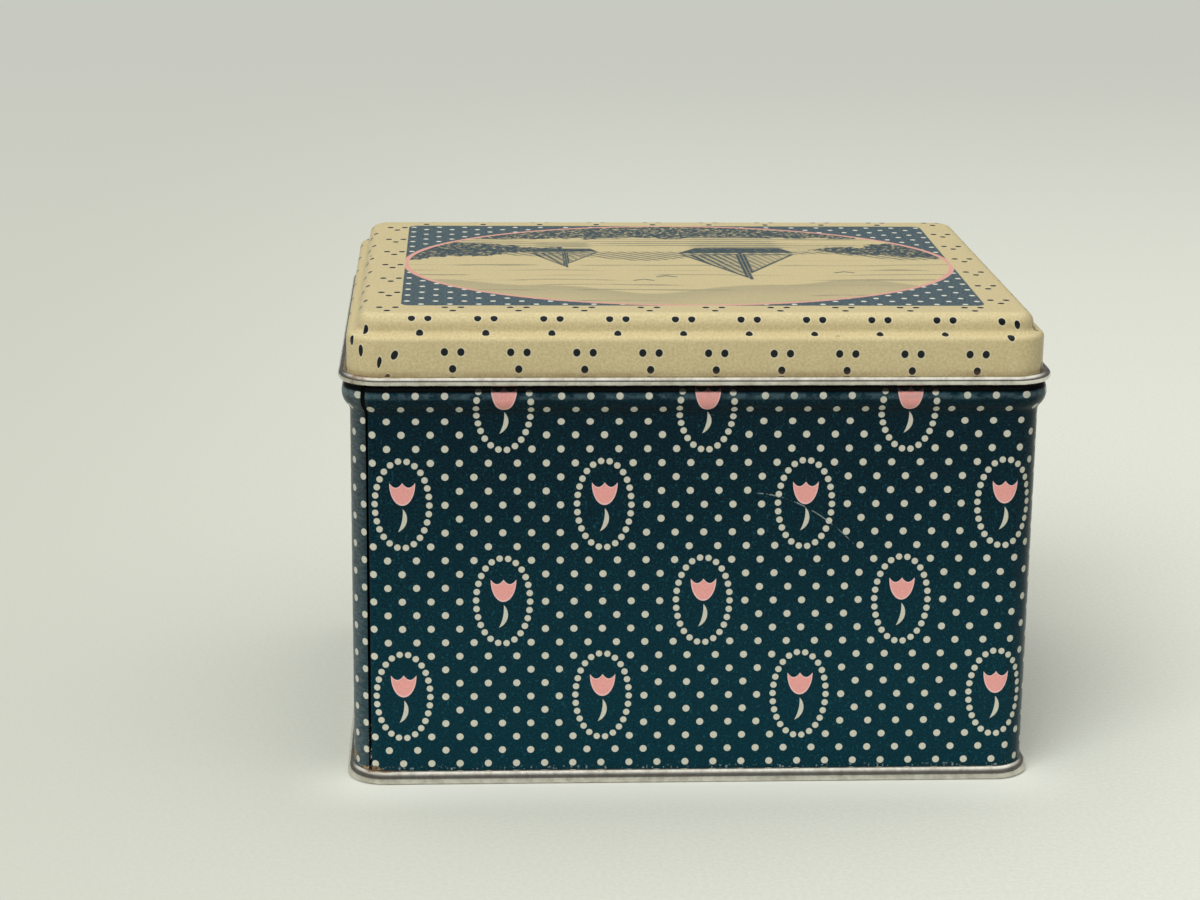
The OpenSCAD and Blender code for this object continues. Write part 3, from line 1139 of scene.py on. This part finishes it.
def make_lid(materials):
    """The panel, its step, the shoulder, the skirt and the rolled edge"""
    t = SHEET_T
    under = path([(PANEL_X, TIN_H - t)],
                 arc((PANEL_X, TIN_H - STEP_EDGE_R), STEP_EDGE_R - t, 90, 0, 8),
                 line((RISER_X - t, TIN_H - STEP_EDGE_R), (RISER_X - t, LEDGE_Z + STEP_FOOT_R)),
                 arc((FOOT_X, LEDGE_Z + STEP_FOOT_R), STEP_FOOT_R + t, 180, 270, 8),
                 arc((FOOT_X, SHOULDER_Z), SHOULDER_R - t, 90, 0, 10),
                 line((LID_INNER_X, SHOULDER_Z), (LID_INNER_X, CURL_Z)))
    curl = arc((CURL_X, CURL_Z), CURL_R, -180, CURL_END, 48)
    crack = path(curl[-1:], arc((CURL_X, CURL_Z), CURL_R - t, CURL_END, -180, 32))
    outer = path(line((SKIRT_X, CURL_Z), (SKIRT_X, SHOULDER_Z), 1.5),
                 arc((FOOT_X, SHOULDER_Z), SHOULDER_R, 0, 90, 14),
                 arc((FOOT_X, LEDGE_Z + STEP_FOOT_R), STEP_FOOT_R, 270, 180, 8),
                 line((RISER_X, LEDGE_Z + STEP_FOOT_R), (RISER_X, TIN_H - STEP_EDGE_R)),
                 arc((PANEL_X, TIN_H - STEP_EDGE_R), STEP_EDGE_R, 0, 90, 12))
    along = reach(outer[::-1])[::-1]
    slip = [SLIP * smooth(far, 0, SLIP_END) - SLIP_BACK * max(0, far - SLIP_BACK_FROM)
            for far in along]
    even = [CORNER_R + PANEL_X + far + more for far, more in zip(along, slip)]
    drawn = []
    for i in range(len(outer)):
        area = sum((a[0] + b[0] + 2 * CORNER_R) / 2 * math.dist(a, b)
                   for a, b in zip(outer[i:], outer[i + 1:]))
        drawn.append(math.sqrt((CORNER_R + PANEL_X) ** 2 + 2 * area))

    def printed(station, i, spot):
        r = even[i] + (drawn[i] - even[i]) * PULL * corner_pull(station.run)
        return turned(station.place(r - CORNER_R, 0))

    def baked(here, station, i, spot):
        spread = station.place(PANEL_X + along[i], 0)
        return tuple(c + side * LID_BAKE for c, side in zip(LID_BAKE_MIDDLE, spread))

    under_map = plan_bake(LID_UNDER_BAKE_MIDDLE, LID_UNDER_BAKE)
    over_map = plan_bake(LID_BAKE_MIDDLE, LID_BAKE)
    runs = [cap_run(PANEL_X, TIN_H - t, INSIDE_SLOT, under_map, False),
            strip_run(under, INSIDE_SLOT, 0.835, 0.87),
            strip_run(curl, METAL_SLOT, 0.8, 0.83),
            strip_run(crack, METAL_SLOT, 0.872, 0.878),
            Run(outer, PRINT_SLOT, printed, baked),
            cap_run(PANEL_X, TIN_H, PRINT_SLOT, over_map, True, turned)]
    stations = stations_round()
    return sweep("tin_lid", stations[:-1], stations[-1], runs, materials)


outer_metal = bare_tinplate()
inner_metal = inside_tinplate()

body = make_body([printed_body(), outer_metal, inner_metal, painted_seam_shade()])
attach(body, "tin")
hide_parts("body_wall")

base = make_base([outer_metal, outer_metal, inner_metal])
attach(base, "tin")
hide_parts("base")

lid = make_lid([printed_lid(), outer_metal, inner_metal])
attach(lid, "lid")
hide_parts("lid")


# The floor. What the camera, metal and gloss see of it is a little uneven, as in the photograph.
# Other light finds plain paper, which is dark some way in front of the tin and beside it
FLOOR_HALF = 8000
FLOOR_TONE = (linear(211, 213, 203), linear(219, 221, 211))
FLOOR_LEFT = linear(194, 196, 185)
FLOOR_RIGHT_PAINTED_LIGHT = linear(224, 226, 217)
FLOOR_FOOT_PAINTED_LIGHT = linear(236, 238, 229)
FLOOR_BACK = linear(188, 190, 183)
PAPER = (linear(214, 216, 207), linear(90, 88, 84))


def seen_floor(s, x, y):
    """The floor's colour: duller to the left and the back, and with painted light paler to the
    right, over the tin's cast shadow, and at the foot of the front wall
    """
    speckle = s.noise(1.1, 2, 0.8)
    colour = s.mix(s.ramp(speckle, 0.3, 0.7), *FLOOR_TONE)
    colour = s.mix(s.ramp(x, -260, 60, 0.9, 0.0), colour, FLOOR_LEFT)
    # Painted light: a paler area to the tin's right, which lightens its cast shadow
    right = s.ramp(x, 60, 240) * s.ramp(y, -120, 160, 1.0, 0.0)
    colour = s.mix(right, colour, FLOOR_RIGHT_PAINTED_LIGHT)
    # Painted light: a paler strip on the floor before the front wall, next to its foot
    foot = s.ramp(abs(y + HALF_D), 0, 20, 1.0, 0.0) * s.ramp(abs(x), 60, 95, 1.0, 0.0)
    colour = s.mix(foot, colour, FLOOR_FOOT_PAINTED_LIGHT)
    return s.mix(s.ramp(y, 40, 1300), colour, FLOOR_BACK)


def make_floor():
    low, high = -FLOOR_HALF, FLOOR_HALF
    corners = [(low, low, 0), (high, low, 0), (high, high, 0), (low, high, 0)]
    floor = make_mesh("floor", corners, [(0, 1, 2, 3)], [0], {}, [])
    s = Surface("floor")
    x, y, z = s.own_place()
    away = s.ramp(s.length(x, s.most(-HALF_D - y, 0)), 60, 420)
    paper = s.mix(away, *PAPER)
    rays = s.node("ShaderNodeLightPath")
    seen = s.most(rays.outputs["Is Camera Ray"], rays.outputs["Is Glossy Ray"])
    seen = s.most(seen, rays.outputs["Is Transmission Ray"])
    floor.data.materials.append(s.finish(s.mix(seen, paper, seen_floor(s, x, y)), 0.85, gloss=0.2))


make_floor()

# Camera at the photograph's angle, found from the dots on the front wall and on the lid
CAMERA_PLACE = (-53.576, -648.93, 237.1)
CAMERA_YAW = -3.1123
CAMERA_PITCH = 15.0854
CAMERA_ROLL = 0.6292
CAMERA_LENS = 83.919

scene = bpy.context.scene
camera_data = bpy.data.cameras.new("camera")
camera_data.lens = CAMERA_LENS
camera_data.sensor_width = 36
camera = bpy.data.objects.new("camera", camera_data)
scene.collection.objects.link(camera)
scene.camera = camera
camera.matrix_world = (
    Matrix.Translation([side * MM for side in CAMERA_PLACE])
    @ Matrix.Rotation(math.radians(CAMERA_YAW), 4, "Z")
    @ Matrix.Rotation(math.radians(90 - CAMERA_PITCH), 4, "X")
    @ Matrix.Rotation(math.radians(CAMERA_ROLL), 4, "Z"))


def sun(name, way, angle, power):
    """A sun that shines from the given way"""
    data = bpy.data.lights.new(name, "SUN")
    data.energy = power
    data.angle = math.radians(angle)
    lamp = bpy.data.objects.new(name, data)
    scene.collection.objects.link(lamp)
    # Metal and gloss show the world's soft light, and not the lamp's hard disc
    lamp.visible_glossy = False
    flat = math.hypot(way[0], way[1])
    lamp.rotation_euler = (math.atan2(flat, way[2]), 0, math.atan2(way[1], way[0]) + math.pi / 2)
    return lamp


sun("key", (-0.37, -0.62, 0.66), 42, 1.75)


def make_world(above=1.15, low=0.14, low_z=0.34, high_z=0.84):
    """Soft light from above and little from near the horizon"""
    world = bpy.data.worlds.new("world")
    scene.world = world
    world.use_nodes = True
    nodes, links = world.node_tree.nodes, world.node_tree.links
    way = nodes.new("ShaderNodeTexCoord")
    parts = nodes.new("ShaderNodeSeparateXYZ")
    links.new(way.outputs["Generated"], parts.inputs[0])
    climb = nodes.new("ShaderNodeMapRange")
    climb.interpolation_type = "SMOOTHSTEP"
    for socket, value in zip(climb.inputs[1:5], (low_z, high_z, low, above)):
        socket.default_value = value
    links.new(parts.outputs["Z"], climb.inputs[0])
    background = nodes["Background"]
    links.new(climb.outputs[0], background.inputs["Strength"])
    background.inputs["Color"].default_value = (1, 1, 0.96, 1)


make_world()
scene.view_settings.view_transform = "Standard"
